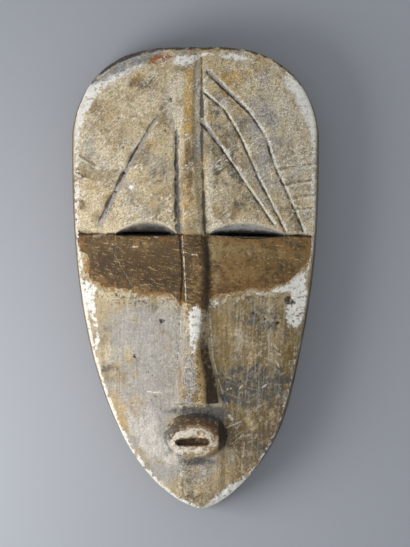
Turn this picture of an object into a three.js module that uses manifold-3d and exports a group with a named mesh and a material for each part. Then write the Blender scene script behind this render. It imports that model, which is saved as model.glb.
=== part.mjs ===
import * as THREE from 'three';
import { mergeVertices, toCreasedNormals } from 'three/addons/utils/BufferGeometryUtils.js';
import Module from 'manifold-3d';

// A face mask carved from one block of light wood, lying on its back.
// Millimetres. +Z points out of the face, +Y to the crown and +X to the right as seen from the front.
// The origin is under the middle of the mask, on the surface that its back rim lies on.

// Outline: a flat-topped crown above the temples, and long sides that close in to a narrow chin below them
const crownY = 139.5;
const chinY = -139.5;
const templeY = 84;
const halfWidth = 75;
const crownPowers = [3.25, 1.8];
const jawPowers = [1.64, 2.54];
const chinLean = 4.6;
const chinLeanPower = 11.5;
const jawSwell = { share: 0.11, y: -108, width: 41 }; // the right jaw is fuller than the left
const sideFlare = 4.2; // how far the back rim stands outside the front edge
const edgeRound = 1.3;

// Front: highest between the brows, falling away all round and leaning back to the crown
const crestHeight = 46.5;
const faceFall = { middleY: 40, up: 104, down: 184, side: 72, round: 2.4, power: 1.6 };
const edgeDrop = 13.5;
const edgeDropSlope = 4.5 / 140; // the chin's edge lies deeper than the crown's
const crownDrop = { fromY: 20, depth: 8 };

// Back: a bowl scooped out inside a flat rim
const rimWidth = 11;
const hollowDepth = 33;
const hollowPower = 3;

// Middle ridge, which swells into the nose. Each station gives its place along Y, the middle line's X,
// the half width of the flat top, how far its left and right feet reach out, and the height over the face.
const ridgeStations = [
  { y: 133, x: -5.8, top: 6, left: 11.3, right: 7.3, height: 0.5 },
  { y: 120, x: -6, top: 4.8, left: 10.5, right: 6.2, height: 1.3 },
  { y: 100, x: -5.2, top: 3.4, left: 8.6, right: 5, height: 1.6 },
  { y: 86, x: -4.9, top: 3.1, left: 6.4, right: 4.9, height: 1.6 },
  { y: 72, x: -4.1, top: 3, left: 6.2, right: 5, height: 1.7 },
  { y: 45, x: -3.1, top: 3.8, left: 6.3, right: 5.9, height: 2.1 },
  { y: 28, x: -1.6, top: 4.6, left: 6.9, right: 6.9, height: 2.4 },
  { y: 8, x: -0.3, top: 5.6, left: 7.2, right: 7.2, height: 2.7 },
  { y: -6, x: -0.1, top: 5.1, left: 7.2, right: 7.6, height: 3.8 },
  { y: -20, x: -0.7, top: 3.9, left: 7.6, right: 9.6, height: 6.2 },
  { y: -38, x: -1.5, top: 3.4, left: 7.4, right: 10.6, height: 9.4 },
  { y: -48, x: -1.2, top: 4.5, left: 8.6, right: 11.6, height: 10.6 },
  { y: -57, x: -0.6, top: 6, left: 10, right: 13.6, height: 11.8 },
  { y: -73, x: -0.9, top: 7, left: 11.2, right: 15.6, height: 13.2 },
];
const ridgeSteps = 36;
const footSink = 5; // how deep the ridge and the muzzle are let into the face

// Trough that the ridge stands in, running out over the cheeks
const troughDepth = 1.3;
const troughFlank = 3.6;
const troughFadeY = 4;
const troughEndY = -24;

// Brow line and the two narrow eyes above it
const browY = 25.3;
const browSlope = -0.012;
const browCut = { rise: 1.3, fall: 0.8, depth: 1.6 };
const eyes = [
  { centreX: -28.8, halfLength: 18, peak: 0.25 },
  { centreX: 30.2, halfLength: 22.2, peak: -0.1 },
];
const lidRise = 7;
const lidDepth = 6.5;
const slitShare = 0.84; // the slit's length over the lid's
const slitHalfGap = 1;

// Mouth: a blunt muzzle with a blind slot
const mouth = {
  foot: { x: 0.7, y: -91.8, halfX: 17.2, halfY: 12.9 },
  front: { x: -0.8, y: -94, halfX: 14.3, halfY: 8.4 },
  height: 11,
  power: 2.4,
  lipRound: 1.6,
  slot: { x: -1.3, y: -94.5, halfX: 9.9, halfY: 1.7, depth: 6 },
};

// Incised forehead lines, each through a few places from its upper end to its lower end
const incisions = [
  [[-21.4, 94.5], [-32.7, 76], [-41.2, 60.5], [-55, 32.2]],
  [[-37.4, 52.5], [-42, 43], [-47.6, 32.4]],
  [[8.1, 120.2], [31.3, 97], [41.5, 82], [46.4, 64.9], [63.2, 27.9]],
  [[5.6, 108], [17.4, 98], [27.5, 79.9], [36.4, 59], [52.5, 27.5]],
  [[4, 90.9], [17, 73], [31.2, 52], [45.4, 31.8]],
];
const incisionHalfWidth = 0.9;
const incisionDepth = 1;

// Broken edges, left of the crown and right of the chin
const chips = [
  { from: [-61, 111.6], to: [-26, 127.6], fall: 50, size: 60 },
  { from: [31.6, -113.8], to: [3.6, -131.8], fall: 36, size: 60 },
];

// Steps of the surfaces
const outlineSteps = 112;
const hollowSteps = 64;
const above = 6; // how far the wide cutters stand over the face
const creaseAngle = THREE.MathUtils.degToRad(25);
const flankOver = 1.6; // how far the flanks of the narrow ones are carried on over it

const wasm = await Module();
wasm.setup();

// A closed three.js geometry as a solid, turned right side out.
function solidOf(geometry) {
  const bare = geometry.clone();
  bare.deleteAttribute('normal');
  bare.deleteAttribute('uv');
  const merged = mergeVertices(bare, 1e-4);
  const index = merged.index.array;
  const faces = [];
  for (let i = 0; i < index.length; i += 3) {
    const [a, b, c] = [index[i], index[i + 1], index[i + 2]];
    if (a !== b && b !== c && a !== c) {
      faces.push(a, b, c);
    }
  }
  const vertProperties = merged.attributes.position.array;
  const make = (list) =>
    new wasm.Manifold(new wasm.Mesh({ numProp: 3, vertProperties, triVerts: new Uint32Array(list) }));
  const made = make(faces);
  return made.volume() > 0 ? made : make(faces.reverse());
}

// A closed surface through rings of equal length, with a fan over the first and the last ring.
function loft(rings) {
  const count = rings[0].length;
  const points = rings.flat();
  const centre = (ring) => ring.reduce((sum, p) => sum.add(p), new THREE.Vector3()).divideScalar(count);
  points.push(centre(rings[0]), centre(rings.at(-1)));
  const index = [];
  for (let ring = 0; ring + 1 < rings.length; ring++) {
    for (let i = 0; i < count; i++) {
      const a = ring * count + i;
      const b = ring * count + (i + 1) % count;
      index.push(a, b, b + count, a, b + count, a + count);
    }
  }
  const last = (rings.length - 1) * count;
  for (let i = 0; i < count; i++) {
    const next = (i + 1) % count;
    index.push(points.length - 2, next, i, points.length - 1, last + i, last + next);
  }
  return new THREE.BufferGeometry().setFromPoints(points).setIndex(index);
}

// Evenly spaced values from one end to the other.
function steps(from, to, count) {
  return Array.from({ length: count + 1 }, (_, i) => THREE.MathUtils.lerp(from, to, i / count));
}

// How far the middle of the outline moves to the right on its way down to the chin.
function lean(y) {
  return chinLean * Math.max(0, (templeY - y) / (templeY - chinY)) ** chinLeanPower;
}

// How many times wider a side is than the plain outline: only the right jaw is.
function swell(x, y) {
  return x > 0 ? 1 + jawSwell.share * Math.exp(-(((y - jawSwell.y) / jawSwell.width) ** 2)) : 1;
}

// A point of the outline, drawn in by inset, at an angle round the temples' middle.
function outlinePoint(angle, inset) {
  const across = Math.cos(angle);
  const along = Math.sin(angle);
  const reach = along >= 0 ? crownY - templeY : templeY - chinY;
  const powers = along >= 0 ? crownPowers : jawPowers;
  const y = templeY + Math.sign(along) * Math.abs(along) ** (2 / powers[1]) * (reach - inset);
  const x = Math.sign(across) * Math.abs(across) ** (2 / powers[0]) * (halfWidth - inset);
  return new THREE.Vector2(x * swell(x, y) + lean(y), y);
}

// 0 at the highest place of the front and about 1 on its edge.
function spread(x, y) {
  const { middleY, up, down, side, round } = faceFall;
  const across = Math.abs(x) / side;
  const along = Math.abs(y - middleY) / (y > middleY ? up : down);
  return (across ** round + along ** round) ** (1 / round);
}

// Height of the plain front over the back rim.
function faceHeight(x, y) {
  const back = crownDrop.depth * (Math.max(0, y - crownDrop.fromY) / (crownY - crownDrop.fromY)) ** 2;
  return crestHeight - back - (edgeDrop - edgeDropSlope * y) * spread(x, y) ** faceFall.power;
}

// A point a given height over the plain front.
function onFace(x, y, height) {
  return new THREE.Vector3(x, y, faceHeight(x, y) + height);
}

// The ridge's middle line, widths and height between its stations.
function ridgeSection(y) {
  const next = Math.max(1, ridgeStations.findIndex((station) => station.y <= y));
  const [from, to] = [ridgeStations[next - 1], ridgeStations[next]];
  const share = (from.y - y) / (from.y - to.y);
  const mix = (key) => THREE.MathUtils.lerp(from[key], to[key], share);
  return { x: mix('x'), top: mix('top'), left: mix('left'), right: mix('right'), height: mix('height') };
}

// A V of given depth and half widths, its flanks carried on a little over the face.
function veeProfile(left, right, depth) {
  const over = 1 + flankOver / depth;
  return [[-left * over, flankOver], [0, -depth], [right * over, flankOver]];
}

// The whole block, back rim and side wall up to the front edge, then the front in rings to its middle.
function block() {
  const angles = steps(0, 2 * Math.PI, outlineSteps).slice(0, -1);
  const wall = [
    [0, 0],
    [0.45, 0.4],
    [0.9, 0.92],
    [0.975, 1.12],
  ];
  const rings = wall.map(([rise, draw]) => angles.map((angle) => {
    const edge = outlinePoint(angle, sideFlare + edgeRound);
    const p = outlinePoint(angle, sideFlare * draw);
    return new THREE.Vector3(p.x, p.y, rise * faceHeight(edge.x, edge.y));
  }));
  for (const share of [1, 0.94, 0.86, 0.76, 0.65, 0.53, 0.41, 0.29, 0.17, 0.06]) {
    rings.push(angles.map((angle) => {
      const p = outlinePoint(angle, sideFlare + edgeRound);
      return onFace(p.x * share, browY + (p.y - browY) * share, 0);
    }));
  }
  return solidOf(loft(rings));
}

// The scooped back, as a solid to cut away: rings that close in towards the roof.
function hollow() {
  const angles = steps(0, 2 * Math.PI, hollowSteps).slice(0, -1);
  const rings = [-1, 0, 1, 2, 3, 4, 5, 6, 7, 8].map((level) => {
    const turn = THREE.MathUtils.degToRad(Math.max(level, 0) * 10.4);
    const share = Math.cos(turn) ** (2 / hollowPower);
    const z = level < 0 ? -above : hollowDepth * Math.sin(turn);
    return angles.map((angle) => {
      const p = outlinePoint(angle, rimWidth);
      return new THREE.Vector3(p.x * share, browY + (p.y - browY) * share, z);
    });
  });
  return solidOf(loft(rings));
}

// The trough on both sides of the ridge: deepest at the ridge's foot and sloping up to the face.
function trough() {
  return solidOf(loft(steps(crownY + 4, troughEndY, ridgeSteps).map((y) => {
    const { x, left, right } = ridgeSection(Math.min(y, ridgeStations[0].y));
    const fade = THREE.MathUtils.clamp((y - troughEndY) / (troughFadeY - troughEndY), 0.1, 1);
    const floor = -troughDepth * fade;
    const over = troughFlank * (1 + flankOver / troughDepth);
    const profile = [[-left - over, flankOver], [-left, floor], [right, floor], [right + over, flankOver]];
    return profile.map(([dx, height]) => onFace(x + dx, y, height));
  })));
}

// The ridge with the nose at its lower end, let into the face by its foot.
function ridge() {
  return solidOf(loft(steps(ridgeStations[0].y, ridgeStations.at(-1).y, ridgeSteps).map((y) => {
    const { x, top, left, right, height } = ridgeSection(y);
    const leftWall = [[-left, -footSink], [-left, 0], [-top, height]];
    const profile = [...leftWall, [top, height], [right, 0], [right, -footSink]];
    return profile.map(([dx, rise]) => onFace(x + dx, y, rise));
  })));
}

function browLine(x) {
  return browY + browSlope * x;
}

// The fine cut along the foot of the forehead, sloping above and steep below.
function browGroove() {
  const reach = halfWidth + above;
  return solidOf(loft(steps(-reach, reach, 28).map((x) => {
    const y = browLine(x);
    const profile = veeProfile(browCut.fall, browCut.rise, browCut.depth);
    return profile.map(([dy, height]) => onFace(x, y + dy, height));
  })));
}

// The scooped lid over an eye: deepest along the brow line, running out in an arc above it.
function lid({ centreX, halfLength, peak }) {
  return solidOf(loft(steps(-0.97, 0.97, 14).map((share) => {
    const x = centreX + share * halfLength;
    const y = browLine(x);
    const arc = (1 - share * share) * (1 + peak * share);
    const rise = lidRise * arc;
    const depth = browCut.depth * 0.5 + lidDepth * (1 - share * share);
    const lip = rise * (1 + 0.7 * flankOver / depth);
    const profile = [[lip, flankOver], [0.3 * rise, -depth], [-0.6, -depth], [-0.9, flankOver]];
    return profile.map(([dy, height]) => onFace(x, y + dy, height));
  })));
}

// A lens-shaped opening along x, as a straight prism between two heights.
function lensPrism(x, y, halfX, halfY, low, high) {
  const lens = new THREE.Shape();
  lens.moveTo(-halfX, 0);
  lens.bezierCurveTo(-0.6 * halfX, -1.33 * halfY, 0.6 * halfX, -1.33 * halfY, halfX, 0);
  lens.bezierCurveTo(0.6 * halfX, 1.33 * halfY, -0.6 * halfX, 1.33 * halfY, -halfX, 0);
  const prism = new THREE.ExtrudeGeometry(lens, { depth: high - low, bevelEnabled: false, curveSegments: 8 });
  return solidOf(prism.translate(x, y, low));
}

// The slit that pierces the wood under a lid.
function eyeSlit({ centreX, halfLength }) {
  const y = browLine(centreX) + 0.7;
  return lensPrism(centreX, y, halfLength * slitShare, slitHalfGap, above, crestHeight + above);
}

// The muzzle: rounded rings from its foot, let into the face, to its blunt front.
function muzzle() {
  const { foot, front, height, power, lipRound } = mouth;
  const angles = steps(0, 2 * Math.PI, 32).slice(0, -1);
  const base = faceHeight(foot.x, foot.y);
  const levels = [[-footSink, 0, 0], [0, 0, 0], [0.5, 0.62, 0], [0.86, 0.94, 0], [1, 1, lipRound]];
  return solidOf(loft(levels.map(([rise, share, inset]) => angles.map((angle) => {
    const across = Math.sign(Math.cos(angle)) * Math.abs(Math.cos(angle)) ** (2 / power);
    const along = Math.sign(Math.sin(angle)) * Math.abs(Math.sin(angle)) ** (2 / power);
    const mix = (key) => THREE.MathUtils.lerp(foot[key], front[key], share);
    const z = base + (rise < 0 ? rise : rise * height);
    return new THREE.Vector3(
      mix('x') + across * (mix('halfX') - inset), mix('y') + along * (mix('halfY') - inset), z,
    );
  }))));
}

function mouthSlot() {
  const { x, y, halfX, halfY, depth } = mouth.slot;
  const front = faceHeight(mouth.foot.x, mouth.foot.y) + mouth.height;
  return lensPrism(x, y, halfX, halfY, front - depth, front + above);
}

// A V cut along a bent line on the forehead.
function incision(places) {
  const line = new THREE.SplineCurve(places.map((place) => new THREE.Vector2(...place)));
  return solidOf(loft(steps(0, 1, 12).map((share) => {
    const p = line.getPoint(share);
    const side = line.getTangent(share).rotateAround(new THREE.Vector2(), Math.PI / 2);
    const profile = veeProfile(incisionHalfWidth, incisionHalfWidth, incisionDepth);
    return profile.map(([offset, height]) => onFace(p.x + side.x * offset, p.y + side.y * offset, height));
  })));
}

// A broken edge: a slanting plane through the line where the break starts on the face.
function brokenEdge(chip) {
  const from = new THREE.Vector2(...chip.from);
  const to = new THREE.Vector2(...chip.to);
  const middle = from.clone().lerp(to, 0.5);
  const box = new THREE.BoxGeometry(chip.size, chip.size, chip.size).translate(0, chip.size / 2, chip.size / 2);
  box.rotateX(-THREE.MathUtils.degToRad(chip.fall));
  box.rotateZ(to.clone().sub(from).angle());
  return solidOf(box.translate(middle.x, middle.y, faceHeight(middle.x, middle.y)));
}

function maskGeometry() {
  let wood = block().subtract(trough()).subtract(browGroove()).add(ridge()).add(muzzle());
  const cuts = [...eyes.map(lid), ...eyes.map(eyeSlit), ...incisions.map(incision)];
  for (const cut of [...cuts, mouthSlot(), ...chips.map(brokenEdge), hollow()]) {
    wood = wood.subtract(cut);
  }
  const { vertProperties, triVerts } = wood.getMesh();
  const geometry = new THREE.BufferGeometry();
  geometry.setAttribute('position', new THREE.BufferAttribute(new Float32Array(vertProperties), 3));
  geometry.setIndex(new THREE.BufferAttribute(new Uint32Array(triVerts), 1));
  return toCreasedNormals(geometry, creaseAngle);
}

const clayedWood = new THREE.MeshStandardMaterial({ color: 0xa99c86, roughness: 0.85, metalness: 0 });
const mask = new THREE.Mesh(maskGeometry(), clayedWood);
mask.name = 'mask';

const part = new THREE.Group();
part.add(mask);

export default part;
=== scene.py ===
import bpy
import math
import numpy as np
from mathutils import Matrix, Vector


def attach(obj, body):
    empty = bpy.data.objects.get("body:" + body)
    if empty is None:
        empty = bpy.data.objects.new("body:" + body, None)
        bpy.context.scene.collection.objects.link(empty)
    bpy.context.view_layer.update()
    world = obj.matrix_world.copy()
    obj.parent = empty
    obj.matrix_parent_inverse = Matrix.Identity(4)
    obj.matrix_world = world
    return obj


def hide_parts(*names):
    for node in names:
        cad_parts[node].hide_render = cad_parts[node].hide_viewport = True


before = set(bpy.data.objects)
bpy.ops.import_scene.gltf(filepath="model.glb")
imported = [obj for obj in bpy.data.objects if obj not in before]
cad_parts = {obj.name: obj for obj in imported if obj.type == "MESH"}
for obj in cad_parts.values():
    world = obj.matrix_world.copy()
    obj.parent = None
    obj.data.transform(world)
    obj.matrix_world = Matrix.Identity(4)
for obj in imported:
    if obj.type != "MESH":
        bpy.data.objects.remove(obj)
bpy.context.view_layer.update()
print("frame loaded")

# Lengths are millimetres unless a note says otherwise. +Y is the crown, +X the right as seen, +Z the front.
mm = 0.001


def ease(low, high, value):
    # 0 up to low, 1 from high on, with a level start and end between them
    t = np.clip((value - low) / (high - low), 0, 1)
    return t * t * (3 - 2 * t)


def bell(value, centre, width):
    # 1 at the centre, falling off with the square of the distance over the width
    return np.exp(-((value - centre) / width) ** 2)


def station(stations, column, y):
    # one column of a table whose first column is Y, falling from row to row:
    # straight between the rows, then averaged over a few millimetres either way
    rows = np.array(stations)[::-1]
    shifts = (-3, -1.5, 0, 1.5, 3)
    return sum(np.interp(y + shift, rows[:, 0], rows[:, column]) for shift in shifts) / len(shifts)


def noise(x, y, size, seed):
    # random heights on a square lattice, blended smoothly between its corners, -1 to 1
    lattice = np.random.default_rng(seed).uniform(-1, 1, (256, 256))
    u, v = x / size, y / size
    i, j = np.floor(u).astype(int), np.floor(v).astype(int)
    s, t = ease(0, 1, u - i), ease(0, 1, v - j)
    low = (1 - s) * lattice[i % 256, j % 256] + s * lattice[(i + 1) % 256, j % 256]
    high = (1 - s) * lattice[i % 256, (j + 1) % 256] + s * lattice[(i + 1) % 256, (j + 1) % 256]
    return (1 - t) * low + t * high


# Unevenness left by hand and wear: height, size and seed of each noise
waver = {
    "ridgeSide": [(0.3, 9, 3)], "noseBase": [(0.3, 4, 4)], "browLine": [(0.25, 11, 5)],
    "browCut": [(0.3, 14, 6)], "lidFoot": [(0.4, 9, 7)], "slot": [(0.3, 5, 8)],
    "broad": [(0.4, 34, 11), (0.24, 15, 12)], "scrape": [(0.09, 1.5, 14)], "longScrape": [(0.06, 2.9, 15)],
    "grit": [(0.08, 1.5, 16), (0.08, 3.4, 19)], "wornEdge": [(1, 7, 17), (0.5, 2.6, 18)],
    "break": [(0.6, 4.5, 21), (0.5, 1.9, 22), (0.25, 0.9, 23)],
    "wall": [(0.3, 18, 32)], "hollow": [(0.5, 9, 36)], "scuffs": [(0.9, 4.6, 71), (0.5, 17, 72)],
}

# Shallow bowls side by side, as a blade or a gouge leaves them: height, share sunk, width, length and seed
bowls = {
    "face": (0.34, 0.2, 11, 26, 13), "wall": (0.6, 0.2, 13, 19, 31), "hollow": (2.2, 0.25, 13, 24, 35),
}


def uneven(x, y, name):
    # the noises of one name added up
    return sum(height * noise(x, y, size, seed) for height, size, seed in waver[name])


def toolMarks(x, y, name):
    # the squared distance to the nearest of a jittered lattice of centres, less the share sunk, in heights
    height, sunk, width, length, seed = bowls[name]
    jitter = np.random.default_rng(seed).uniform(-0.35, 0.35, (2, 64, 64))
    u, v = x / width, y / length
    i, j = np.floor(u).astype(int), np.floor(v).astype(int)
    nearest = np.full(np.shape(u), 9.0)
    for a in (-1, 0, 1):
        for b in (-1, 0, 1):
            p, q = (i + a) % 64, (j + b) % 64
            du = u - (i + a + 0.5 + jitter[0, p, q])
            dv = v - (j + b + 0.5 + jitter[1, p, q])
            nearest = np.minimum(nearest, du * du + dv * dv)
    return height * (nearest - sunk)


def ovalShare(x, y, oval):
    # 0 in the middle of an oval, 1 on it
    middleX, middleY, halfX, halfY = oval
    return np.hypot((x - middleX) / halfX, (y - middleY) / halfY)


def bentLine(places):
    # a chain of straight pieces with its corners eased: a point every 3 mm, each averaged with its neighbours
    corners = np.array(places, float)
    run = np.concatenate([[0], np.cumsum(np.hypot(*np.diff(corners, axis=0).T))])
    along = np.linspace(0, run[-1], max(3, int(run[-1] / 3) + 1))
    line = np.stack([np.interp(along, run, corners[:, k]) for k in (0, 1)], -1)
    for _ in range(2):
        line[1:-1] = (line[:-2] + 2 * line[1:-1] + line[2:]) / 4
    return line


def sideOfLine(x, y, line, widths):
    # distance in plan to a line, in its own half widths, which change evenly from its start to its end:
    # over 0 on its +X side and under 0 on the other
    best = np.full(np.shape(x), 99.0)
    for k, ((ax, ay), (bx, by)) in enumerate(zip(line, line[1:])):
        dx, dy = bx - ax, by - ay
        share = np.clip(((x - ax) * dx + (y - ay) * dy) / (dx * dx + dy * dy), 0, 1)
        width = widths[0] + (widths[1] - widths[0]) * (k + share) / (len(line) - 1)
        away = np.hypot(x - ax - share * dx, y - ay - share * dy) / width
        signed = np.where(dx * (y - ay) > dy * (x - ax), away, -away)
        best = np.where(away < np.abs(best), signed, best)
    return best


# The block that the mask is carved from, with the same sizes as the solid's
blank = {
    "crownY": 139.5, "chinY": -139.5, "templeY": 84, "halfWidth": 75,
    "crownPowers": (3.25, 1.8), "jawPowers": (1.64, 2.54),
    "chinLean": 4.6, "chinLeanPower": 11.5,
    "jawSwell": (0.11, -108, 41),  # how much fuller the right jaw is, where, and over what length
    "sideFlare": 4.2, "edgeRound": 1.3,  # back rim outside the front edge; radius of that edge
    "crestHeight": 46.5, "edgeDrop": 13.5, "edgeDropSlope": 4.5 / 140,
    "fallMiddleY": 40, "fallUp": 104, "fallDown": 184, "fallSide": 72, "fallRound": 2.4, "fallPower": 1.6,
    "crownDrop": 8, "crownDropFrom": 20,
    "rimWidth": 11, "hollowDepth": 33, "hollowPower": 3,
    "middleY": 4,  # where the rays of the outline start
    "gridX": 200, "gridY": 366,  # cells of the front, drawn together round each place, width and weight
    "crowdX": [(0, 13, 1.1), (-70, 6, 0.4), (70, 6, 0.4)],
    "crowdY": [(24, 7, 1.1), (-92, 15, 0.5), (-76.5, 3, 0.9), (80, 30, 0.25)],
    "edgeTurns": (24, 48, 72), "wallRings": 12, "hollowRings": 46, "hollowTurns": 132,
    "turnLength": 95,  # about mm of the wall to a radian
}


def leanAt(y):
    # how far the middle moves to the right on its way down to the chin
    share = np.maximum(0, (blank["templeY"] - y) / (blank["templeY"] - blank["chinY"]))
    return blank["chinLean"] * share ** blank["chinLeanPower"]


def outlineValue(x, y, inset):
    # under 1 inside the outline drawn in by inset, and over 1 outside it:
    # a sum of the two shares of the reach, each to its own power, above and below the temples
    up = y >= blank["templeY"]
    reach = np.where(up, blank["crownY"] - blank["templeY"], blank["templeY"] - blank["chinY"])
    powerX = np.where(up, blank["crownPowers"][0], blank["jawPowers"][0])
    powerY = np.where(up, blank["crownPowers"][1], blank["jawPowers"][1])
    swell, swellY, swellWidth = blank["jawSwell"]
    fuller = np.where(x > leanAt(y), 1 + swell * bell(y, swellY, swellWidth), 1)
    across = np.abs(x - leanAt(y)) / fuller / (blank["halfWidth"] - inset)
    along = np.abs(y - blank["templeY"]) / (reach - inset)
    return (across ** powerX + along ** powerY) ** (1 / powerX)


def rayToOutline(angle, inset):
    # the outline point that a ray from the middle meets, found by halving
    dirX = blank["halfWidth"] * np.cos(angle)
    dirY = blank["crownY"] * np.sin(angle)
    low, high = np.zeros_like(angle), np.full_like(angle, 1.6)
    for _ in range(30):
        middle = (low + high) / 2
        inside = outlineValue(middle * dirX, blank["middleY"] + middle * dirY, inset) < 1
        low, high = np.where(inside, middle, low), np.where(inside, high, middle)
    return low * dirX, blank["middleY"] + low * dirY


def plainFace(x, y):
    # the face before carving: it falls with a power of the rounded distance from its highest place,
    # and leans back to the crown with the square of the way there
    past = y - blank["fallMiddleY"]
    along = np.abs(past) / np.where(past > 0, blank["fallUp"], blank["fallDown"])
    across = np.abs(x) / blank["fallSide"]
    spread = (across ** blank["fallRound"] + along ** blank["fallRound"]) ** (1 / blank["fallRound"])
    back = np.maximum(0, y - blank["crownDropFrom"]) / (blank["crownY"] - blank["crownDropFrom"])
    drop = (blank["edgeDrop"] - blank["edgeDropSlope"] * y) * spread ** blank["fallPower"]
    return blank["crestHeight"] - blank["crownDrop"] * back ** 2 - drop


def edgeDistance(x, y):
    # roughly how far a point of the face lies inside the front edge
    here = outlineValue(x, y, blank["sideFlare"])
    slopeX = (outlineValue(x + 0.1, y, blank["sideFlare"]) - here) / 0.1
    slopeY = (outlineValue(x, y + 0.1, blank["sideFlare"]) - here) / 0.1
    return (1 - here) / np.maximum(np.hypot(slopeX, slopeY), 1e-3)


ridge = {
    # Y, middle X, half width of the top, reach of the left and right foot, height over the face
    "stations": [
        (134, -5.8, 6, 11.5, 7.4, 0.4), (128, -5.9, 5.6, 11.5, 6.8, 0.9), (120, -6, 4.8, 10.5, 6.2, 1.3),
        (100, -5.2, 3.4, 8.6, 5, 1.6), (86, -4.9, 3.1, 6.4, 4.9, 1.6), (72, -4.1, 3, 6.2, 5, 1.7),
        (45, -3.1, 3.8, 6.3, 5.9, 2.1), (28, -1.6, 4.6, 6.9, 6.9, 2.4), (8, -0.3, 5.6, 7.2, 7.2, 2.7),
        (-6, -0.1, 5.1, 7.2, 7.6, 3.8), (-20, -0.7, 3.9, 7.6, 9.6, 6.2), (-38, -1.5, 3.4, 7.4, 10.6, 9.4),
        (-48, -1.2, 4.5, 8.6, 11.6, 10.6), (-57, -0.6, 6, 10, 13.6, 11.8), (-73, -0.9, 7, 11.2, 15.6, 13.2),
    ],
    "baseY": -72.4, "baseSlope": 0.012, "baseWall": 0.9, "topEnd": (136.5, 131),
    "crown": 0.6,  # how much the top's edges lie below its middle
    # Y, left depth and flank, right depth, flat floor and flank of the troughs beside it
    "troughs": [
        (140, 0, 2.2, 0.4, 3.4, 2.6), (96, 0, 2.2, 0.8, 3.8, 2.6), (84, 1, 2.2, 1, 3.2, 2.8),
        (60, 1.8, 2, 1.2, 2.6, 3.2), (28, 2, 2, 1.4, 1.8, 4), (18, 1.2, 0.8, 1.3, 0.6, 4),
        (-12, 0.9, 0.8, 1.3, 0, 4.5), (-24, 0.2, 2.6, 1, 0, 5), (-60, 0, 2.6, 0.3, 0, 4),
        (-90, 0, 2.6, 0, 0, 4),
    ],
}

eyes = {
    "browY": 25.3, "browSlope": -0.012,
    "bevel": 2.0, "fall": 0.8, "cut": 1.6,  # the fine cut along the brow, from edge to edge
    "lids": [(-28.8, 18.0, 0.25), (30.2, 22.2, -0.1)],  # middle X, half length, lean of the arc's peak
    "rise": 7.0, "depth": 6.4, "sag": 1.3,
    "slitShare": 0.84, "slitUp": 0.4, "slitHalf": 0.75, "pierce": 14,
}

mouth = {
    "foot": (0.7, -91.8, 17.2, 12.9),  # middle X, middle Y, half width, half height
    "front": (-0.8, -94.0, 14.3, 8.4),
    "height": 11, "power": 2.3,
    "lipSwell": 1.6, "lipRing": (0.66, 0.26),  # its share of the front's reach, and its spread
    "slot": (-1.3, -94.5, 9.9, 1.7), "slotDepth": 3.6,
    "groove": (0.6, -106.8, 9.5, 1.5), "grooveDepth": 1.1, "grooveBend": 0.018,
    "paleLips": (-0.8, -94.6, 14.3, 9), "brownSlot": (-1.3, -94.4, 10.2, 2.6),
}

# Cut lines: places from the top down, half width at each end, depth, and how the cut looks
incisions = [
    ([(-21.4, 94.5), (-24.9, 90.2), (-32.7, 76), (-41.2, 60.5), (-46.5, 49.8), (-55, 32.2)],
     (0.7, 2.0), 1.1, "dark"),
    ([(-37.4, 52.5), (-42, 43), (-47.6, 32.4)], (0.7, 0.9), 0.4, "faint"),
    ([(8.1, 120.2), (19, 109), (31.3, 97)], (1.4, 1.0), 1.2, "grey"),
    ([(28, 100.5), (31.3, 97), (41.5, 82), (46.4, 64.9), (52.5, 52.2), (63.2, 27.9)],
     (0.95, 0.95), 1.1, "pale"),
    ([(15, 108.5), (21.5, 102.8), (28.5, 95)], (1.1, 0.9), 0.4, "ochre"),
    ([(5.6, 108), (17.4, 98.0), (27.5, 79.9), (36.4, 59.0), (52.5, 27.5)], (0.85, 0.95), 1.0, "pale"),
    ([(4.0, 90.9), (13.3, 78.6), (17, 73)], (1.4, 1.0), 1.2, "grey"),
    ([(15, 76), (31.2, 52.0), (45.4, 31.8)], (0.85, 0.9), 1.1, "pale"),
    ([(49.5, 63.2), (58, 65.4), (70, 66.6)], (1.1, 1.0), 0.8, "tick"),
    ([(53.0, 54.4), (60, 56.4), (70, 57.6)], (1.1, 1.0), 0.8, "tick"),
    ([(56.5, 46.4), (63, 48.4), (70, 49)], (1.1, 1.0), 0.8, "tick"),
    ([(58.5, 40.2), (69, 41.2)], (1.0, 0.9), 0.7, "tick"),
    ([(-67, 71.5), (-60, 66.5), (-55, 64.5)], (1.0, 0.7), 0.6, "tick"),
    ([(-69, 61.8), (-64, 58.9)], (1.0, 0.8), 0.6, "tick"),
    ([(-10.6, 84.5), (-10.4, 60), (-9.9, 28)], (1.1, 1.7), 0.4, "trough"),
    ([(3.9, 131), (3.9, 97), (4.2, 73), (4.9, 50), (5.3, 30), (6.8, 20), (7.1, -12), (6.7, -19)],
     (1.1, 1.3), 0.5, "seam"),
]

# Broken edges: the line where each break starts on the face, how steeply it falls and how rough it is
chips = [
    ((-61, 111.6), (-26, 127.6), 50, 1.1),
    ((31.6, -113.8), (3.6, -131.8), 36, 0.9),
]

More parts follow.
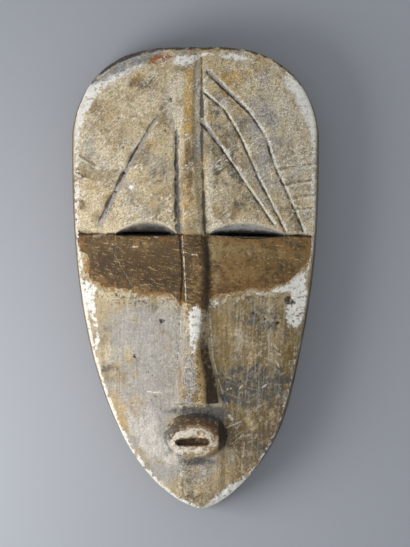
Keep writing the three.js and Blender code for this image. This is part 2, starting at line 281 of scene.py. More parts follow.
# Small holes and knocks: place, radius, depth
pits = [
    (47.7, -26.3, 1.6, 1.7), (-19.1, -24.9, 1.9, 1.3), (-34.7, -45.4, 1.5, 1.1), (-27, -54.8, 1.1, 0.7),
    (-30, -54.4, 0.9, 0.5), (54.8, -12.9, 3, 1.3), (57.5, -14.5, 1.6, 1), (33.5, -20.5, 1.8, 1),
    (40.8, -23.5, 1.4, 0.8), (37, -24.5, 1, 0.7), (-41.3, 60.6, 1.4, 1.2), (-46.6, 49.9, 1.3, 1.3),
    (-14.5, 103.7, 1.6, 1.3), (-17.2, 101.5, 1.1, 0.9), (-13.3, 113.6, 0.8, 0.7), (-17.2, 85.4, 1.1, 1),
    (-52, 38, 0.9, 0.8), (-22.5, -69, 1.1, 0.6), (-19.6, -76, 1, 0.6), (-22.7, -87.7, 1, 0.6),
    (-16, -103.6, 1, 0.7), (-4.1, -109.6, 0.9, 0.6), (30.5, 71, 1, 0.7), (-46, -9.5, 1.6, 0.8),
    (-30, -11, 1.4, 0.6), (-71, 57, 2.2, 0.8), (-70.5, 51, 2, 0.7), (-70.5, 45, 2.2, 0.9),
    (-69.8, 39, 2, 0.8), (-69.5, 34, 1.8, 0.6),
]


def browLine(x):
    return eyes["browY"] + eyes["browSlope"] * x


def ridgeRelief(x, y):
    # across the ridge: a slightly crowned top, a straight wall down to the trough's floor, and a flank back
    middle, top, leftFoot, rightFoot, height = (station(ridge["stations"], k, y) for k in range(1, 6))
    troughs = ridge["troughs"]
    leftDeep, leftFlank, rightDeep, level, rightFlank = (station(troughs, k, y) for k in range(1, 6))
    across = x - middle + uneven(x * 0, y, "ridgeSide")
    right = across > 0
    foot = np.where(right, rightFoot, leftFoot)
    deep = np.where(right, rightDeep, leftDeep)
    away = np.abs(across)
    wall = np.clip((away - top) / (foot - top), 0, 1)
    rise = np.clip((away - foot - np.where(right, level, 0)) / np.where(right, rightFlank, leftFlank), 0, 1)
    raised = (height - ridge["crown"] * np.minimum(away / top, 1) ** 2) * (1 - wall)
    base = ridge["baseY"] - ridge["baseSlope"] * x + uneven(x, y * 0, "noseBase")
    ends = ease(base - ridge["baseWall"], base, y) * ease(*ridge["topEnd"], y)
    return raised * ends - deep * wall * (1 - rise)


def lidShape(x, y):
    # height over the brow line, the lid's arc and share of its full depth at each X, and the slit's half gap
    up = y - browLine(x) + uneven(x, y * 0, "browLine")
    arc, swell, gap = np.zeros_like(x), np.zeros_like(x), np.zeros_like(x)
    for middle, half, lean in eyes["lids"]:
        share = np.clip((x - middle) / half, -1, 1)
        full = 1 - share ** 2
        arc = np.maximum(arc, eyes["rise"] * full ** 0.85 * (1 + lean * share))
        swell = np.maximum(swell, full)
        gap = np.maximum(gap, eyes["slitHalf"] * np.sqrt(np.maximum(0, 1 - (share / eyes["slitShare"]) ** 2)))
    return up, arc, swell, gap


def lidRelief(x, y):
    # the cut along the brow and, over each eye, a scoop that runs out in an arc, with the slit at its foot
    up, arc, swell, gap = lidShape(x, y)
    cut = eyes["cut"] * (1 + uneven(x, y * 0, "browCut"))
    cut = cut * np.where(up > 0, 1 - up / eyes["bevel"], 1 + up / eyes["fall"]).clip(0)
    depth = (eyes["cut"] * 0.6 + eyes["depth"] * swell ** 0.8) * (swell > 0.001)
    sag = eyes["sag"] * swell * (1 + uneven(x, y * 0, "lidFoot"))
    scoop = np.where(up > 0, 1 - np.clip(up / np.maximum(arc, 0.05), 0, 1) ** 1.4,
                     1 - ease(sag, sag + 0.8, -up))
    slit = ease(0.25, -0.25, np.abs(up - eyes["slitUp"]) - gap) * (gap > 0.15)
    return -np.maximum(cut, depth * scoop) - eyes["pierce"] * slit


def mouthRelief(x, y):
    # a blunt muzzle: the share of the way up is that of the ring, from foot to front, that a point lies on
    foot, front = np.array(mouth["foot"]), np.array(mouth["front"])
    low, high = np.zeros_like(x), np.ones_like(x)
    for _ in range(16):
        share = (low + high) / 2
        cx, cy, hx, hy = (foot[k] + (front[k] - foot[k]) * share for k in range(4))
        ring = (np.abs(x - cx) / hx) ** mouth["power"] + (np.abs(y - cy) / hy) ** mouth["power"]
        low, high = np.where(ring < 1, share, low), np.where(ring < 1, high, share)
    height = mouth["height"] * np.sin(low * math.pi / 2) ** 0.9
    height += mouth["lipSwell"] * bell(ovalShare(x, y, front), *mouth["lipRing"])
    sx, sy, shx, shy = mouth["slot"]
    slot = (np.abs(x - sx) / shx) ** 6 + (np.abs(y - sy + uneven(x, y * 0, "slot")) / shy) ** 2
    height -= mouth["slotDepth"] * ease(1.4, 0.5, slot)
    gx, gy, ghx, ghy = mouth["groove"]
    under = bell(y, gy + mouth["grooveBend"] * (x - gx) ** 2, ghy) * ease(ghx + 3, ghx - 3, np.abs(x - gx))
    return height - mouth["grooveDepth"] * under


def incisionRelief(x, y):
    depth = np.zeros_like(x)
    for number, (places, widths, deep, look) in enumerate(incisions):
        deep = deep * (1 + 0.25 * noise(x, y, 7, 40 + number))
        away = sideOfLine(x + 0.25 * noise(x, y, 9, 60 + number), y, bentLine(places), widths)
        depth = np.maximum(depth, deep * bell(away, 0, 1))
    return -depth


def surfaceRelief(x, y):
    # what the tools left: broad unevenness, long shallow knife cuts, grit, and fine scraping down the cheeks
    turn = 0.25
    marks = toolMarks(x * math.cos(turn) + y * math.sin(turn), y - 0.2 * x, "face")
    scrape = uneven(x, y * 0.09, "scrape") + uneven(x, y * 0.05, "longScrape")
    worn = np.maximum(0, uneven(x, y, "wornEdge")) * ease(4, 0, edgeDistance(x, y))
    holes = sum(depth * bell(np.hypot(x - px, y - py), 0, radius * 0.6) for px, py, radius, depth in pits)
    plain = uneven(x, y, "broad") + uneven(x, y, "grit") + marks
    return plain + scrape * ease(12, -20, y) - 0.9 * worn - holes


def pastBreak(x, y, chip):
    # how far outside the line where a break starts, less the way past the line's ends
    (ax, ay), (bx, by) = chip[:2]
    length = math.hypot(bx - ax, by - ay)
    outward = ((x - ax) * -(by - ay) + (y - ay) * (bx - ax)) / length
    within = ((x - ax) * (bx - ax) + (y - ay) * (by - ay)) / length
    return outward - 0.3 * np.maximum(np.maximum(-within, within - length), 0)


def breakAway(x, y, z):
    # each break is a slanting rough plane that nothing stands above
    for chip in chips:
        (ax, ay), (bx, by), fall, rough = chip
        outward = pastBreak(x, y, chip)
        top = plainFace(np.array((ax + bx) / 2), np.array((ay + by) / 2))
        level = top - math.tan(math.radians(fall)) * outward + rough * uneven(x, y, "break")
        z = np.where(outward > -4, np.minimum(z, np.maximum(level, 4)), z)
    return z


def carvedFace(x, y):
    # the face's height over the back rim
    relief = ridgeRelief(x, y) + lidRelief(x, y) + incisionRelief(x, y) + surfaceRelief(x, y)
    return plainFace(x, y) + relief + mouthRelief(x, y)


def crowded(cells, half, crowds):
    # steps from -1 to 1, drawn together by adding up a density
    fine = np.linspace(-half, half, 4001)
    density = 1 + sum(weight * bell(fine, place, width) for place, width, weight in crowds)
    total = np.concatenate([[0], np.cumsum((density[1:] + density[:-1]) / 2)])
    return np.interp((np.linspace(-1, 1, cells + 1) + 1) / 2 * total[-1], total, fine) / half


def frontGrid():
    # a square grid pressed into a disc, then out to the outline along rays:
    # a = u sqrt(1 - v²/2) and b = v sqrt(1 - u²/2) turn the square into a disc of radius 1
    u, v = np.meshgrid(crowded(blank["gridX"], blank["halfWidth"], blank["crowdX"]),
                       crowded(blank["gridY"], blank["crownY"], blank["crowdY"]))
    a, b = u * np.sqrt(1 - v * v / 2), v * np.sqrt(1 - u * u / 2)
    radius, angle = np.hypot(a, b), np.arctan2(b, a)
    edgeX, edgeY = rayToOutline(angle, blank["sideFlare"] + blank["edgeRound"])
    return radius * edgeX, blank["middleY"] + radius * (edgeY - blank["middleY"]), angle


def gridBorder(number):
    # the vertex numbers round a grid of them, counter-clockwise as seen from the front
    return np.concatenate([number[0, :-1], number[:-1, -1], number[-1, :0:-1], number[:0:-1, 0]])


def bodyMesh():
    # front grid, rounded edge and side wall in rings, and a flat underside
    x, y, angle = frontGrid()
    z = breakAway(x, y, carvedFace(x, y))
    number = np.arange(x.size).reshape(x.shape)
    quads = np.stack([number[:-1, :-1], number[:-1, 1:], number[1:, 1:], number[1:, :-1]], -1).reshape(-1, 4)
    points = [np.stack([x.ravel(), y.ravel(), z.ravel()], -1)]
    border = gridBorder(number)
    around, rimTop = angle.ravel()[border], z.ravel()[border]
    plain = plainFace(x.ravel()[border], y.ravel()[border])
    flare, bend = blank["sideFlare"], blank["edgeRound"]
    # each ring's inset, share of the way up and drop: first round the edge, then down the wall
    turns = [math.radians(turn) for turn in blank["edgeTurns"]]
    rings = [(flare + bend * (1 - math.sin(t)), None, bend * (1 - math.cos(t))) for t in turns]
    shares = np.linspace(0.94, 0.035, blank["wallRings"])
    rings += [(flare * share, share, 0) for share in shares] + [(0.25, 0, 0)]
    previous = border
    for inset, share, sink in rings:
        ringX, ringY = rayToOutline(around, inset)
        if share is None:
            ringZ = rimTop - sink
        else:
            ringZ = plain * share + (rimTop - plain) * share ** 6
            run = around * blank["turnLength"]
            marks = toolMarks(run, ringZ, "wall") + uneven(run, ringZ, "wall")
            length = np.hypot(ringX, ringY - blank["middleY"])
            push = 1 - marks * ease(0, 0.2, share) / length
            ringX, ringY = ringX * push, blank["middleY"] + (ringY - blank["middleY"]) * push
        ringZ = breakAway(ringX, ringY, ringZ)
        current = sum(len(p) for p in points) + np.arange(len(border))
        points.append(np.stack([ringX, ringY, ringZ], -1))
        band = np.stack([previous, current, np.roll(current, -1), np.roll(previous, -1)], -1)
        quads = np.concatenate([quads, band])
        previous = current
    centre = sum(len(p) for p in points)
    points.append(np.array([[0.0, blank["middleY"], 0.0]]))
    fan = np.stack([previous, np.full(len(previous), centre), np.roll(previous, -1)], -1)
    return np.concatenate(points), quads.tolist() + fan.tolist()


def hollowLevel(x, y, z):
    # 1 on the scooped surface and more outside it: the share of the hollow's reach at that height
    rise = np.clip(z / blank["hollowDepth"], 0, 0.9999)
    share = np.sqrt(1 - rise ** 2) ** (2 / blank["hollowPower"])
    return outlineValue(x / share, eyes["browY"] + (y - eyes["browY"]) / share, blank["rimWidth"])


def hollowMesh():
    # rings that close in towards the roof, roughened by a gouge's bowls
    angle = np.linspace(0, 2 * math.pi, blank["hollowTurns"], endpoint=False)
    edgeX, edgeY = rayToOutline(angle, blank["rimWidth"])
    middleY, depth, below = eyes["browY"], blank["hollowDepth"], -6
    points = [np.stack([edgeX, edgeY, np.full_like(edgeX, below)], -1)]
    for turn in np.radians(np.linspace(0, 88, blank["hollowRings"])):
        share = math.cos(turn) ** (2 / blank["hollowPower"])
        x, y = edgeX * share, middleY + (edgeY - middleY) * share
        marks = toolMarks(x + 0.3 * y, y - 0.3 * x, "hollow") + uneven(x, y, "hollow")
        marks = marks * ease(0, 0.35, turn)
        push = 1 - 0.9 * marks * math.cos(turn) / blank["halfWidth"]
        ring = x * push, middleY + (y - middleY) * push, (depth - marks) * math.sin(turn)
        points.append(np.stack(ring, -1))
    count = len(angle)
    number = np.arange(len(points) * count).reshape(-1, count)
    ahead = np.roll(number, -1, axis=1)
    quads = np.stack([number[:-1], ahead[:-1], ahead[1:], number[1:]], -1).reshape(-1, 4)
    points.append(np.array([[0, middleY, below], [0, middleY, points[-1][:, 2].mean()]]))
    low = np.stack([ahead[0], number[0], np.full(count, number.size)], -1)
    high = np.stack([number[-1], ahead[-1], np.full(count, number.size + 1)], -1)
    return np.concatenate(points), quads.tolist() + low.tolist() + high.tolist()


def placeObject(name, data):
    piece = bpy.data.objects.new(name, data)
    bpy.context.scene.collection.objects.link(piece)
    return piece


def makeObject(name, points, faces):
    mesh = bpy.data.meshes.new(name)
    mesh.from_pydata((points * mm).tolist(), [], faces)
    mesh.validate()
    return placeObject(name, mesh)


def carveOut(piece, cutter):
    # piece less cutter, as a plain mesh
    modifier = piece.modifiers.new("hollow", "BOOLEAN")
    modifier.operation = "DIFFERENCE"
    modifier.object = cutter
    modifier.solver = "MANIFOLD"
    depsgraph = bpy.context.evaluated_depsgraph_get()
    carved = bpy.data.meshes.new_from_object(piece.evaluated_get(depsgraph))
    piece.modifiers.clear()
    old, piece.data = piece.data, carved
    bpy.data.meshes.remove(old)
    bpy.data.objects.remove(cutter)


body = makeObject("carvedMask", *bodyMesh())
print("front and side wall made:", len(body.data.polygons), "faces")
carveOut(body, makeObject("hollowCutter", *hollowMesh()))
body.data.polygons.foreach_set("use_smooth", np.ones(len(body.data.polygons), bool))
body.data.set_sharp_from_angle(angle=math.radians(50))
print("back hollowed:", sum(len(face.vertices) - 2 for face in body.data.polygons), "triangles")

# Edges that the paint follows
edges = {
    # X and Y of the brown band's lower edge; Y and X of its ragged left and right ends
    "band": [
        (-70, 2), (-62, 0.5), (-58, -3.5), (-50, -6.2), (-40.7, -6.6), (-30, -8.6), (-18.5, -9.2),
        (-12, -11.5), (-6.4, -14.5), (0, -17), (6.3, -18.5), (8, -12.5), (13, -9.6), (22, -9), (31.3, -7),
        (44, -6.4), (51, -3.5), (58, 0.5), (62, 6), (71, 12),
    ],
    "bandLeft": [(-6, -58), (-2.9, -60), (3, -62.5), (14, -63), (16, -67), (19, -68.5), (26, -71)],
    "bandRight": [(-6, 66), (5.8, 66.5), (24, 69.5)],
    # how much white clay is left along the front edge, by Y, on the left and on the right
    "clayLeft": [
        (-140, 1.3), (-128, 1.2), (-110, 1.1), (-90, 1.1), (-60, 1.05), (-30, 1), (0, 0.8), (25, 0.7),
        (50, 1), (70, 0.8), (85, 1), (105, 0.9), (125, 0.4), (140, 0.1),
    ],
    "clayRight": [
        (-140, 1), (-128, 0.7), (-110, 0.6), (-90, 0.45), (-60, 0.5), (-30, 0.35), (0, 0.3), (25, 0.65),
        (50, 0.85), (70, 0.8), (85, 0.9), (105, 0.9), (125, 0.3), (140, 0.2),
    ],
}

# Fields that come in from the first value to the second of each measure that they name
zones = {
    "thin": [("x", -2, 26)], "right": [("x", 2, 14)], "outer": [("aside", 14, 40)], "combed": [("y", 0, -18)],
    "belowBrow": [("overBrow", -8, -14)], "forehead": [("overBrow", -0.5, 0.5)],
    "painted": [("inBand", -0.5, 1.5)], "lips": [("lipShare", 1.05, 0.8)], "slot": [("slotShare", 1.35, 0.5)],
    "muzzleTop": [("muzzle", 0.5, 0.72), ("muzzle", 1.14, 1), ("muzzleSlope", -95, -87)],
    "muzzleWall": [("muzzle", 1.12, 1), ("x", 12.6, 14.2), ("y", -104, -98)],
    "noseWall": [("besideRidge", 0, 1.2), ("ridgeHeight", 0.6, 2), ("y", -8, -64), ("y", -77, -74)],
}

# Patches of colour: X, Y, half width, half height, strength and, if it leans, turn in degrees
paint = {
    "chalk": [
        (-63.5, 104, 3, 9, 1.7, -24), (-58, 110.6, 6, 3, 1.4, 34), (-48, 117, 10, 1.6, 2.2, 25),
        (-38, 121.6, 7, 1.2, 1.5, 24), (-67.5, 92, 1.8, 10, 1.3, -8), (57, 112.5, 3.2, 8, 1.5, 42),
        (64.5, 101, 3.6, 11, 1.9, 20), (69, 84, 1.9, 10, 1.3, 4), (-7.5, 127, 5.2, 2.4, 2),
        (-2, 128.8, 3.4, 1.4, 1.3), (23, 129.4, 7.5, 1.5, 1.9, -8), (6, 131, 4, 1.2, 1.2),
        (-62.5, -7, 4, 4, 1.9), (-62.5, -13, 2.8, 7, 1.7, 8), (-59, -22, 1.4, 10, 1.2, 10),
        (-66.5, 8, 1.2, 5, 0.8, 4), (60, -1.8, 6, 2.6, 1.9, 40), (61.5, -9, 3.4, 5, 1.8),
        (58.6, -18.5, 4, 8, 2.8, -10), (50, -6.6, 6, 1.7, 1.1, 12), (37, -9, 6, 1.2, 0.7, 6),
        (11.5, -15, 2.6, 2.2, 0.8, -50), (0.3, -22.5, 3, 5, 2.4, 4), (-0.4, -30, 2.4, 6, 2, 4),
        (-1.4, -38, 1.3, 5, 1.5, 4), (24, -122.5, 8, 3.2, 1.3, 40), (15, -130, 7, 4, 1.3, 35),
        (9, -134.5, 5, 2, 0.9, 20), (-72, 46, 1.2, 14, 0.8), (35.6, -92.4, 1.2, 1.1, 1.3),
        (31, 98.5, 1.4, 1.4, 1.1), (13, 106, 1.8, 1.2, 0.9, 30), (-37.2, 52.6, 1.5, 1.3, 1.2),
        (-57, -36, 1.6, 2.5, 0.8), (-58, -41, 1.2, 3, 0.8), (-18.6, -25.6, 1.2, 0.9, 0.9),
    ],
    # clay film rubbed over the wood, pale and a little mauve
    "clay": [
        (-11, -34, 4, 22, 0.9), (-34, -62, 18, 22, 0.55, 15), (-20, -50, 14, 34, 1),
        (-40, -30, 18, 14, 0.9), (-34, -58, 18, 14, 0.4), (-24, -96, 16, 16, 0.9), (-12, -114, 16, 8, 0.7),
        (12, -112, 10, 8, 0.45), (42, 92, 16, 16, 0.8), (36, 60, 8, 12, 0.6), (-62, 80, 6, 16, 0.5),
        (54, 62, 14, 20, 0.5), (1.2, 98, 2.6, 36, 0.9), (16, 103, 6, 7, 0.6), (16, -34, 6, 12, 0.2),
        (-3, -58, 3, 16, 1, 2), (38, -32, 10, 12, 0.5),
    ],
    # thick cream left smooth, and painted highlight in the narrow upright patches at X -13.2, -9.4, -8.2, 6.2
    # and 8.4, on the flanks beside the ridge that face the lamp
    "cream": [
        (32, 118, 22, 8, 0.55, -20), (62, 78, 9, 34, 0.5, 8), (50, 100, 10, 12, 0.45),
        (22, -36, 12, 14, 0.5), (-8.2, 104, 2, 24, 0.9), (-28, -92, 12, 16, 0.3, 30),
        (-52, -46, 5, 14, 0.2, 12), (-13.2, 100, 3.4, 26, 1.3, 2), (8.4, 52, 2.4, 26, 1.5),
        (13, 31, 9, 5, 0.9), (6.2, 108, 1.6, 17, 1.4), (-25, 100, 6, 12, 0.6, -30),
        (-9.4, 58, 1.2, 26, 1.1), (-20, 30, 26, 3, 0.5), (36, 33, 20, 3, 0.4), (-60, 66, 8, 8, 0.5),
        (-56, 40, 8, 8, 0.5), (1.8, 96, 3, 22, 0.8), (-43, -70, 6, 14, 0.35, 20),
    ],
    # thicker pale clay, smooth and a little mauve
    "bloom": [
        (-26, -94, 10, 12, 1.2, 25), (-14, -103, 9, 8, 1), (-34, -82, 7, 10, 0.5, 25),
        (-18, -62, 8, 14, 0.3), (-30, -70, 8, 8, 0.3),
    ],
    # golden wear along the ridge
    "honey": [
        (-3.6, 103, 2.6, 24, 1.1), (-3.4, 40, 1.8, 9, 0.3), (24, 118, 7, 4, 0.6, -8),
        (-50, -74, 6, 8, 0.3, 20),
    ],
    # soot and dirt rubbed in
    "grime": [
        (13, 94, 4.5, 26, 0.9, -4), (12, 62, 4, 12, 0.5), (36, -62, 21, 9.5, 3), (24, -68, 7, 6, 1.2),
        (44, -90, 12, 20, 0.5), (39, -24, 13, 8, 1.15, -10), (50, -30, 6, 8, 0.5),
        (22, 60, 12, 14, 0.8, 25), (27, 44, 9, 8, 0.6, 25), (44, 104, 12, 8, 0.2), (26, 88, 9, 8, 0.5),
        (40, 78, 8, 8, 0.3), (-52, -28, 7, 5, 0.5), (-50, -52, 9, 5, 0.9, 10), (-31, -48, 6, 5, 0.5),
        (-27, 113, 7, 6, 0.8), (-24, 59, 6, 5, 0.8), (-66, 98, 3, 8, 0.6, -10), (-60, 74, 4, 8, 0.5),
        (-20, 45, 7, 7, 0.7), (-16, 60, 5, 8, 0.5), (-2, 62, 3, 14, 0.75), (0, 30, 3, 6, 0.4),
        (-46, -8, 4, 2.4, 0.9), (-30, -10, 4, 2.4, 0.8), (-42, -13, 6, 5, 0.5), (-22, -16, 8, 6, 0.6),
        (30, -11, 7, 2.2, 0.8, 20), (-48, -95, 3, 8, 0.6, 30), (46, -106, 6, 9, 0.7, 40),
        (36, -98, 9, 6, 0.5),
    ],
    # brown stain of the right cheek and the chin
    "umber": [
        (-15.5, 128, 2.6, 3, 1), (-32, 128.5, 12, 1.6, 1.2, 16), (-58, 113, 3, 2, 0.9, 40),
        (36, -84, 18, 12, 1.1), (44, -70, 10, 20, 0.5), (-3.4, 68, 2.8, 16, 1.5), (22, -88, 6, 10, 1),
        (35, -99, 12, 9, 1.1, 30), (56, -44, 3.2, 16, 1.3, -8), (28, -112, 10, 7, 0.9, 30),
        (0, -128, 20, 6, 0.75, 4), (-50, -88, 3.5, 12, 0.9, 25), (-30, -114, 9, 4, 0.6, -35),
        (48, -76, 8, 16, 0.7), (-27, 114, 8, 6, 0.7), (-36, 114, 5, 3, 0.7, 15), (46, -14, 5, 6, 0.6),
        (16, 84, 8, 5, 0.6, -30), (20, 68, 6, 14, 0.6, 25), (38, 120, 14, 4, 0.5, -14),
        (-68, 69, 4, 2, 0.9), (-66, 60, 3.5, 2, 0.9), (-66, 43, 2.4, 5, 0.9),
    ],
    # warm rubbed wood
    "ochre": [
        (-3.6, 101, 3, 28, 1.5), (-3.6, 56, 3.4, 28, 1.3), (-33, 116, 5, 4, 0.9, 15), (-26, 45, 18, 9, 0.5),
        (-30, 90, 14, 12, 0.4), (23, 118, 10, 7, 1, -8), (20, 110, 6, 5, 0.6, -30), (9, 92, 3.4, 14, 1.1),
        (14, 84, 6, 4, 0.7, -20), (33, 50, 5, 14, 0.5, 25), (45, 34, 8, 6, 0.9), (60, 45, 7, 12, 0.5),
        (24, -36, 16, 18, 1.2), (14, -44, 5, 22, 0.8), (44, -84, 10, 9, 0.55), (30, -84, 9, 7, 0.5),
        (36, -112, 5, 5, 0.5), (-47, -72, 8, 10, 0.5, 20), (-44, -86, 6, 10, 0.9, 20),
        (-34, -74, 8, 8, 0.4), (-28, -122, 12, 5, 0.6, -35), (2, -122, 16, 6, 0.5),
    ],
    # golden brown of the nose and of the band's thin places
    "gold": [
        (-3, 48, 2.2, 14, 0.8), (-3.6, 76, 2, 9, 0.7), (-34.5, 117.5, 3.5, 2.4, 1, 30),
        (-31, 19.5, 13, 4, 1), (-60, 16, 4, 5, 0.9), (-52, 21, 8, 3, 0.5), (-30, -8, 10, 2.6, 1.2, -10),
        (-12.5, -12.4, 6, 2.2, 1.2, -25), (0, 0, 4.4, 16, 1.2), (-52, -4.5, 6, 1.8, 0.9, -10),
        (-64, 3, 2, 5, 1.2), (24, -10.4, 8, 1.8, 1.1, 8), (41, -7.6, 6, 2, 1, 8), (36, 10, 26, 10, 0.7),
        (20, 12, 8, 10, 0.8), (30, 1, 14, 5, 0.6), (60, 6, 6, 10, 0.7), (-2, -86.5, 9, 2.4, 1.1),
        (11, -99, 3, 4, 1), (-1, -101.5, 9, 1.7, 1), (8, -20, 2.5, 5, 1),
    ],
    # mottled golden wear on the nose and the lips
    "amber": [
        (4.2, -56, 2.8, 16, 2.2, 5), (-8.8, -58, 2.4, 12, 0.9, 4), (-1, -68, 7, 3.6, 0.9),
        (-6, -46, 1.3, 10, 0.7, 4), (2, -69.5, 5, 3, 0.8), (11, -99, 3, 4, 1.2), (-1, -101.6, 10, 1.9, 1.1),
        (9, -90, 3, 3, 0.7), (-12, -97, 2, 4, 0.7),
    ],
    # where the band is worn to olive
    "thinned": [
        (12, 17, 4, 8, 1.5), (26, 16, 18, 5, 1), (-30, 20, 10, 2.5, 0.5), (13, -2, 4, 6, 0.7),
        (50, 12, 8, 4, 0.4),
    ],
    # darker, thicker places of the band
    "brown": [
        (-26, 2, 16, 9, 1.1), (-50, 6, 12, 9, 1.1), (-14, -4, 8, 6, 0.9), (-40, -2, 12, 4, 0.5),
        (-4, 20, 4, 4, 0.6), (-3, 9, 3, 3, 0.6), (36, 6, 9, 5, 0.5, -10), (24, 10, 4, 6, 0.6),
        (24, -6, 10, 2.6, 1.1, 6), (50, 4, 8, 6, 0.6), (62, 19, 6, 4, 0.9), (44, -2, 12, 4, 0.5, 6),
    ],
    "rust": [
        (-23, 127.5, 4.4, 3.2, 1.3), (-17, 130, 5, 1.6, 0.9), (-63, 115, 2.4, 1.6, 1.1, 30),
        (52, 116, 5, 1.5, 0.8, -38),
    ],
    # painted shade with blue-black soot in the shelter of the carving: under and beside the nose's base, at
    # the muzzle's left foot and in the groove under the lip
    "soot": [
        (-4, -77.4, 14, 2.2, 1.3), (8, -78, 11, 3.2, 1.6), (12, -80.5, 6, 3, 1.2, -30),
        (1, -107.4, 10, 1.9, 1.6), (-15, -101, 2, 5, 0.7, -40), (17, -70, 2.6, 4, 0.9, 20),
    ],
}

# Single scratches and worn corners, and painted highlight along the ridge's lit left edge in the band and
# along the nose's base (the first two): places, half width and strength
scratchAndHighlightLines = [
    ([(-7.3, 24), (-6, 4), (-5, -16)], 0.42, 0.75), ([(-11, -72.4), (3, -72.8), (13.5, -73)], 0.6, 0.9),
    ([(-27.5, -66), (-24.8, -68), (-20, -66.4)], 0.5, 1.2),
    ([(28.9, 111.5), (37, 116.5), (44.4, 119.3)], 0.9, 0.7), ([(45.2, 107.9), (45.2, 88.8)], 0.4, 0.7),
    ([(45.6, -39.2), (48.5, -41.8)], 0.4, 1), ([(46.2, -42.4), (49.6, -45)], 0.4, 1),
    ([(46.8, -48), (49, -52)], 0.4, 0.9), ([(19.5, -79.6), (21.5, -82.4)], 0.8, 1.1),
    ([(18.3, -87.1), (22.5, -85.8), (26.3, -83.8)], 0.5, 0.9), ([(26.3, -92.9), (31.8, -91.5)], 0.4, 0.8),
    ([(20.7, -94.3), (23.7, -101), (27.9, -104.8)], 0.4, 0.8),
    ([(28.5, -95.5), (29, -100), (27.9, -104.8)], 0.4, 0.7),
    ([(8.6, -20.8), (10.2, -45), (15, -64.4), (19, -74.1)], 0.5, 0.8),
    ([(18.5, -64.7), (21.2, -64)], 0.5, 1), ([(25.6, -64.6), (27.5, -62.4)], 0.4, 1),
    ([(35.2, -57.2), (36, -60.4)], 0.4, 0.9), ([(39, -64), (41.3, -62.4)], 0.6, 1.1),
    ([(29.7, 14.3), (43.3, 11)], 0.4, 0.5), ([(55.5, 12), (62, 9.8)], 0.45, 0.5),
    ([(24.8, -1.2), (30.6, -3.2)], 0.45, 0.5), ([(42.7, 18.7), (49, 18.9)], 0.35, 0.5),
    ([(40.4, 17.7), (44.2, 21.6)], 0.35, 0.5), ([(-5.7, 14.6), (-1, 13.2), (1.6, 13)], 0.7, 0.55),
    ([(-49, 20), (-42.5, 16.4)], 0.4, 0.8), ([(-37, 17.8), (-33.4, 18)], 0.5, 0.9),
    ([(70, 22), (66.5, 8), (65, 2)], 0.8, 0.9), ([(-14.5, 120), (-14, 106), (-11.3, 90)], 0.6, 0.6),
    ([(-24, 122), (-20, 112), (-30, 100)], 0.5, 0.4),
]


def patchField(x, y, patches):
    # a sum of turned bells, each falling from its strength at its middle
    total = np.zeros_like(x)
    for px, py, halfX, halfY, strength, turn in (patch + (0,) * (6 - len(patch)) for patch in patches):
        c, s = math.cos(math.radians(turn)), math.sin(math.radians(turn))
        u, v = ((x - px) * c + (y - py) * s) / halfX, (-(x - px) * s + (y - py) * c) / halfY
        total += strength * np.exp(-(u * u + v * v))
    return total


def nearestCut(x, y, look):
    # side and distance of the nearest cut line of one look, in its half widths
    sides = np.stack([sideOfLine(x, y, bentLine(places), widths)
                      for places, widths, depth, kind in incisions if kind == look])
    return np.take_along_axis(sides, np.abs(sides).argmin(0)[None], 0)[0].clip(-9, 9)


